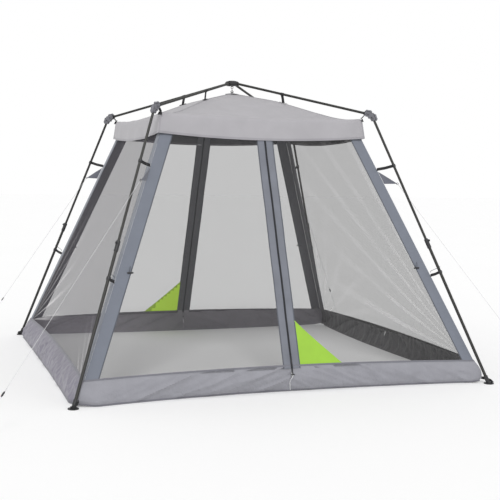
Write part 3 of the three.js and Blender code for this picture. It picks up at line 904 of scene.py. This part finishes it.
def green_corner(side, corner):
    """The coloured triangle at the foot of the door's right half."""
    piece = Piece(f"green_corner_{side}")
    grid, hem = [], []
    for share in steps(24):
        z = GREEN_TOP_Z + (GREEN_LOW_Z - GREEN_TOP_Z) * share
        reach = green_reach(z) + 0.002
        grid.append([wall_spot(side, x, z, 0.0022) for x in steps(12, STRIP_OUT - 0.003, reach)])
        hem_in = max(reach - 0.010, STRIP_OUT - 0.003)
        hem.append([wall_spot(side, x, z, 0.0032) for x in steps(2, hem_in, reach)])
    piece.sheet(grid, GREEN_CLOTH, 0.0009, GREEN_INSIDE_GLOW)
    piece.sheet(hem, GREEN_CLOTH, 0.0008, GREEN_INSIDE_GLOW)
    obj = piece.finish(f"leg_{corner}", "sleeve_cloth")
    gather_on_leg(obj, side, 1)


# ---------- ground skirt ----------
HEM_MID = {"front": 1.400, "right": 1.412, "back": 1.424, "left": 1.528}
HEM_WIDE = {"front": (1.545, 1.480), "right": (1.480, 1.490),
            "back": (1.500, 1.530), "left": (1.540, 1.545)}  # towards the left and the right corner
SKIRT_CORNER = 1.492  # half spacing of the hem's corners, just inside the feet
SKIRT_COLUMNS = 190
SKIRT_ROWS = 26


def skirt_folds(side, along, z):
    """How far the loose cloth stands out or in: long puffs, slanting crinkles and fine puckers."""
    seed = SIDES[side] * 0.37
    puffs = 0.013 * noise.noise(Vector((along * 2.6, z * 5, seed)))
    slant = along * 0.5 + math.copysign(z, along) * 1.3
    crinkle = 1 - abs(2 * noise.noise(Vector((slant * 7, along * 1.4, seed + 5))))
    fine = noise.noise(Vector((slant * 22, z * 9, seed + 9)))
    puckers = noise.noise(Vector((along * 26, z * 5, seed + 2))) if side in ("left", "right") else 0
    return puffs + 0.014 * crinkle ** 3 + 0.006 * fine + 0.007 * puckers


def skirt_spot(side, half, share, down, lift=0.0):
    """A point on the skirt: share from the side's middle (0) to the corner, down from seam (0) to hem."""
    top_z = SKIRT_SEAM_Z + 0.030 * (1 - share ** 2)
    top_out = wall_half(top_z) + 0.003
    wide = HEM_WIDE[side][0 if half < 0 else 1]
    hem_out = HEM_MID[side] + (wide - HEM_MID[side]) * share ** 2.2
    tucked = smooth(share, 0.90, 1.0)
    hem_out += (SKIRT_CORNER - hem_out) * tucked
    hem_z = 0.002 + 0.010 * smooth(share, 0.93, 1.0)
    z = top_z + (hem_z - top_z) * down
    puff = 0.016 * math.sin(math.pi * min(down * 1.12, 1)) - 0.014 * smooth(down, 0.8, 1.0)
    corner_half = wall_half(SKIRT_SEAM_Z) + 0.002
    corner_half += (SKIRT_CORNER - corner_half) * down + puff
    loose = smooth(down, 0.0, 0.25) * smooth(1 - down, 0.0, 0.12) * (1 - smooth(share, 0.9, 1.0))
    across = half * share * corner_half
    out = top_out + (hem_out - top_out) * down + puff + loose * skirt_folds(side, across, z)
    return on_side(side, across, out + lift, z)


def half_skirt(side, half):
    """Half a skirt, with the tape over its upper seam and its hem."""
    corner = corner_of(side, half)
    piece = Piece(f"skirt_{side}_{corner}")
    shares = steps(SKIRT_COLUMNS) if half > 0 else steps(SKIRT_COLUMNS)[::-1]
    grid = [[skirt_spot(side, half, s, d) for s in shares] for d in steps(SKIRT_ROWS)]
    outside, inside = SKIRTS[side]
    piece.sheet(grid, outside, 0.0012, inside)
    seam = [[skirt_spot(side, half, s, d, 0.0024) for s in shares] for d in steps(2, 0.0, 0.06)]
    piece.sheet(seam, SKIRT_TAPE, 0.001)
    hem = [[skirt_spot(side, half, s, d, 0.0012) for s in shares] for d in steps(3, 0.93, 1.0)]
    piece.sheet(hem, SKIRT_TAPE, 0.0015)
    obj = piece.finish(f"leg_{corner}", "skirt_cloth", replaces=[f"{side}_skirt"])
    gather_on_leg(obj, side, half)


# ---------- the door's slider and the end of its zip ----------
SLIDER_TOP_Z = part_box("front_zip_slider")[1].z


def zip_slider(side):
    """The slider and its pull, on the cloth of the door's left half."""
    piece = Piece(f"slider_{side}")
    z = SLIDER_TOP_Z - 0.010
    slope = on_side(side, 0, WALL_SLOPE, -1).normalized()
    spot = on_side(side, 0, wall_half(z) + 0.006, z)
    side_hint = on_side(side, 1, 0, 0)
    body = [spot + slope * s for s in (-0.009, -0.006, 0.002, 0.007, 0.009)]
    piece.tube(body, [0.004, 0.007, 0.0065, 0.005, 0.003], BLACK_PLASTIC, 16, 0.4, side_hint)
    pull = [spot + slope * s + on_side(side, 0, 0.002, 0) for s in (0.004, 0.010, 0.022, 0.036, 0.041)]
    piece.tube(pull, [0.002, 0.0035, 0.0028, 0.0042, 0.0025], BLACK_PLASTIC, 14, 0.35, side_hint)
    obj = piece.finish(f"{side}_slider", "black_plastic", replaces=[f"{side}_zip_slider"])
    gather_on_leg(obj, side, -1)


def zip_end(side):
    """The zip runs on into the skirt and ends at a bar, with a white pull-down loop below it."""
    corner = corner_of(side, 1)
    piece = Piece(f"zip_end_{side}")
    lift = 0.0045
    chain = [skirt_spot(side, 1, 0.001, d, lift) for d in steps(8, -0.03, 0.34)]
    piece.tube(chain, 0.0048, ZIP_CHAIN, sides=8)
    end = chain[-1]
    bar = [end + on_side(side, x, 0.001, 0) for x in (-0.014, 0, 0.014)]
    piece.tube(bar, 0.0035, BLACK_PLASTIC, sides=10)
    loop = [skirt_spot(side, 1, 0.001, 0.36 + 0.58 * share, 0.006)
            + on_side(side, 0.004 - 0.016 * math.sin(math.pi * share), 0, 0) for share in steps(16)]
    piece.tube(loop, 0.0028, GUY_BRAID, sides=8)
    obj = piece.finish(f"leg_{corner}", "cord")
    gather_on_leg(obj, side, 1)


for side in SIDES:
    for half in (-1, 1):
        canopy_part(side, half)
        half_wall(side, half)
        half_skirt(side, half)
for side in ("front", "back"):
    zip_slider(side)
    zip_end(side)


# ---------- straps and ties ----------
def band(piece, spot, axis, radius, width, material):
    """A loop of webbing round a tube."""
    axis = Vector(axis).normalized()
    piece.tube([spot - axis * width / 2, spot + axis * width / 2], radius, material, sides=20)


def pole_strap(corner):
    """The webbing that hangs the roof's ridge from its pole."""
    piece = Piece("pole_strap_" + corner)
    outward, sideways = corner_axes(corner)
    pole = pole_point(corner, 0.35)
    along = pole_point(corner, 1) - pole_point(corner, 0)
    r = pole.dot(outward)
    ridge = at_corner(corner, r + 0.012, 0, ridge_height(r + 0.012) + 0.003)
    band(piece, pole, along, TUBE_R + 0.0022, 0.025, BLACK_WEBBING)
    piece.strap([pole - UP * TUBE_R, pole.lerp(ridge, 0.5), ridge], 0.022, outward, BLACK_WEBBING)
    on_ridge = [ridge + outward * 0.03 - UP * 0.005, ridge + UP * 0.003, ridge - outward * 0.03 + UP * 0.009]
    piece.strap(on_ridge, 0.022, sideways, BLACK_WEBBING)
    piece.finish("pole_" + corner, "black_plastic")


def ridge_height(r):
    halves, heights = zip(*RIDGE)
    return float(np.interp(r / math.sqrt(2), halves, heights))


def corner_strap(corner):
    """The short strap from the canopy's corner to its pole, with the cloth's black corner patch."""
    piece = Piece("corner_strap_" + corner)
    outward, sideways = corner_axes(corner)
    eave = at_corner(corner, EAVE_HALF * math.sqrt(2) - 0.002, 0, EAVE_Z + 0.004)
    pole = pole_point(corner, 0.955)
    along = pole_point(corner, 1) - pole_point(corner, 0)
    band(piece, pole, along, TUBE_R + 0.0024, 0.026, BLACK_WEBBING)
    down = [pole - UP * TUBE_R, pole.lerp(eave, 0.55) + outward * 0.004, eave]
    piece.strap(down, 0.020, sideways, BLACK_WEBBING)
    patch = [[eave + sideways * w * s + outward * o - UP * d for s in (-1, 0, 1)]
             for w, o, d in ((0.004, -0.012, -0.004), (0.012, 0.004, 0.004), (0.020, 0.010, 0.026))]
    piece.sheet(patch, BLACK_WEBBING, 0.0016)
    piece.finish("pole_" + corner, "black_plastic")


def leg_tie(corner, z, body, name):
    """A webbing tie with a clip, from a band on the leg to the sleeve."""
    piece = Piece(f"{name}_{corner}")
    leg = leg_point(corner, z)
    axis = JOINTS["leg_slide_" + corner]["axis"]
    sleeve_z = z - 0.030
    sleeve = at_corner(corner, wall_half(sleeve_z) * math.sqrt(2) + 0.004, 0, sleeve_z)
    radius = TUBE_R if body == "leg" else LOWER_R
    band(piece, leg, axis, radius + 0.004, 0.020, BLACK_PLASTIC)
    gap = (sleeve - leg).normalized()
    across = [leg + gap * radius, leg.lerp(sleeve, 0.5) - UP * 0.003, sleeve]
    piece.strap(across, 0.022, UP, BLACK_WEBBING, 0.005)
    if name == "lower_tie":
        lift = UP * 0.040
        middle = leg.lerp(sleeve, 0.5)
        loop = [leg + lift, middle + lift * 0.9, sleeve + lift * 0.8, sleeve + lift * 0.55]
        piece.tube(curve_through(loop, 12), 0.0018, EDGE_TAPE, sides=8)
    clip = leg.lerp(sleeve, 0.62) - UP * 0.002
    body_path = [clip + gap * s for s in (-0.014, -0.008, 0.008, 0.014)]
    piece.tube(body_path, [0.006, 0.010, 0.010, 0.006], BLACK_PLASTIC, sides=12, flat=0.5, side_hint=UP)
    piece.finish(f"{body}_{corner}", "black_plastic")


GUSSET_TOP_Z = 1.545
GUSSET_LOW_Z = 1.452
GUSSET_COLUMNS = 5


def guy_gusset(corner):
    """The triangular cloth tab that takes the guyline, with its eye."""
    piece = Piece("guy_gusset_" + corner)
    outward, sideways = corner_axes(corner)
    tip = at_corner(corner, TAB_TIP_R, TAB_SIDE, TAB_TIP_Z)
    rows = []
    for share in steps(8):
        z = GUSSET_TOP_Z + (GUSSET_LOW_Z - GUSSET_TOP_Z) * share
        root = at_corner(corner, wall_half(z) * math.sqrt(2) + 0.002, 0.004, z)
        sag = 0.010 * math.sin(math.pi * share)
        row = []
        for reach in steps(GUSSET_COLUMNS):
            bulge = math.sin(math.pi * reach)
            row.append(root.lerp(tip, reach) - outward * sag * bulge + sideways * 0.004 * bulge)
        rows.append(row)
    piece.sheet(rows, GUSSET_SHADE_CLOTH, 0.0012)
    ring = [tip + (outward * math.cos(a) + UP * math.sin(a)) * 0.007 for a in steps(16, 0, 2 * math.pi)]
    piece.tube(ring, 0.0018, BLACK_PLASTIC, sides=8)
    obj = piece.finish("leg_" + corner, "sleeve_cloth", replaces=["guy_tab_" + corner])


def foot_strap(corner):
    """The webbing that pulls the skirt's corner to the foot's ring."""
    piece = Piece("foot_strap_" + corner)
    outward, _ = corner_axes(corner)
    foot_r = FOOT[corner].dot(outward)
    path = [at_corner(corner, SKIRT_CORNER * math.sqrt(2) - 0.012, 0, 0.040),
            at_corner(corner, foot_r - 0.020, 0.018, 0.032),
            at_corner(corner, foot_r + 0.012, 0.020, 0.020),
            at_corner(corner, foot_r + 0.026, 0, 0.014)]
    piece.strap(path, 0.020, UP, BLACK_WEBBING, 0.002)
    piece.finish("lower_" + corner, "black_plastic")


UPPER_TIE_Z = 1.591
LOWER_TIE_Z = 0.804
for corner in CORNERS:
    pole_strap(corner)
    corner_strap(corner)
    leg_tie(corner, UPPER_TIE_Z, "leg", "upper_tie")
    leg_tie(corner, LOWER_TIE_Z, "lower", "lower_tie")
    guy_gusset(corner)
    foot_strap(corner)


# ---------- elbow grips and the canopy's peak ----------
GRIP_HALF_W = 0.0175
GRIP_OUT = 0.0195
GRIP_RIBS = (0.017, 0.029, 0.041)


def rounded_ring(centre, normal, sideways, half_n, half_t):
    """A closed path round a casing's section, with cut corners."""
    bevel = 0.3
    turns = [(1, bevel), (1, -bevel), (bevel, -1), (-bevel, -1),
             (-1, -bevel), (-1, bevel), (-bevel, 1), (bevel, 1)]
    ring = [centre + normal * half_n * n + sideways * half_t * t for n, t in turns]
    return ring + ring[:1]


def elbow_grip(corner, body):
    """Ribs, an outer pad and screw bosses on one half of the elbow's casing."""
    piece = Piece(f"elbow_grip_{body}_{corner}")
    outward, sideways = corner_axes(corner)
    bend = leg_point(corner, ELBOW_Z)
    far = pole_point(corner, 0) if body == "pole" else FOOT[corner]
    along = (far - bend).normalized()
    normal = sideways.cross(along)
    if normal.dot(outward + UP) < 0:
        normal = -normal
    for s in GRIP_RIBS:
        rib = rounded_ring(bend + along * s, normal, sideways, GRIP_OUT, GRIP_HALF_W)
        piece.tube(rib, 0.0034, ELBOW_PLASTIC, sides=8)
    pad = [bend + along * s + normal * (GRIP_OUT + lift)
           for s, lift in ((0.004, 0.0), (0.014, 0.006), (0.030, 0.004), (0.046, 0.004), (0.058, -0.005))]
    piece.tube(pad, [0.007, 0.013, 0.011, 0.012, 0.006], ELBOW_PLASTIC, 14, 0.6, sideways)
    for sign in (-1, 1):
        boss = bend + along * 0.022 - normal * 0.002 + sideways * sign * 0.015
        piece.tube([boss, boss + sideways * sign * 0.0045], 0.0095, ELBOW_PLASTIC, sides=18)
        piece.tube([boss, boss + sideways * sign * 0.0052], 0.0055, BLACK_PLASTIC, sides=6)
    piece.finish(f"{body}_{corner}", "elbow_plastic")


def peak_cap():
    """A round patch over the canopy's peak, with the black loop that hangs it from the hook."""
    piece = Piece("peak_cap")
    rings = []
    for radius in (0.004, 0.02, 0.04, 0.055):
        ring = []
        for turn in steps(32, 0, 2 * math.pi):
            z = ridge_height(radius) + 0.0035 - 0.014 * radius * abs(math.sin(2 * turn))
            ring.append(Vector((radius * math.cos(turn), radius * math.sin(turn), z)))
        rings.append(ring)
    piece.sheet(rings, ROOF_TAPE, 0.0012)
    loop = [Vector((0.010 * math.cos(a), 0, ridge_height(0) + 0.008 + 0.014 * math.sin(a)))
            for a in steps(16, 0, math.pi)]
    piece.strap(loop, 0.012, (0, 1, 0), BLACK_WEBBING)
    piece.finish("hub", "roof_cloth")


for corner in CORNERS:
    elbow_grip(corner, "pole")
    elbow_grip(corner, "leg")
peak_cap()


# ---------- finishes on the carried-over CAD nodes ----------
def refinish(prefix, material, bevel=0.0):
    """Gives the CAD nodes whose names start so their material, and rounds their edges."""
    for name, node in frame["nodes"].items():
        if not name.startswith(prefix):
            continue
        node.data.materials.clear()
        node.data.materials.append(material)
        if bevel:
            modifier = node.modifiers.new("bevel", "BEVEL")
            modifier.width = bevel
            modifier.segments = 3
            modifier.limit_method = "ANGLE"


for prefix in ("canopy_hook", "roof_pole", "leg_upper", "leg_lower", "guy_peg"):
    refinish(prefix, STEEL)
for prefix, bevel in {"hub_body": 0.0015, "leg_collar": 0.001, "leg_button": 0.0008, "foot_": 0.0012}.items():
    refinish(prefix, BLACK_PLASTIC, bevel)
refinish("elbow_", ELBOW_PLASTIC, 0.004)
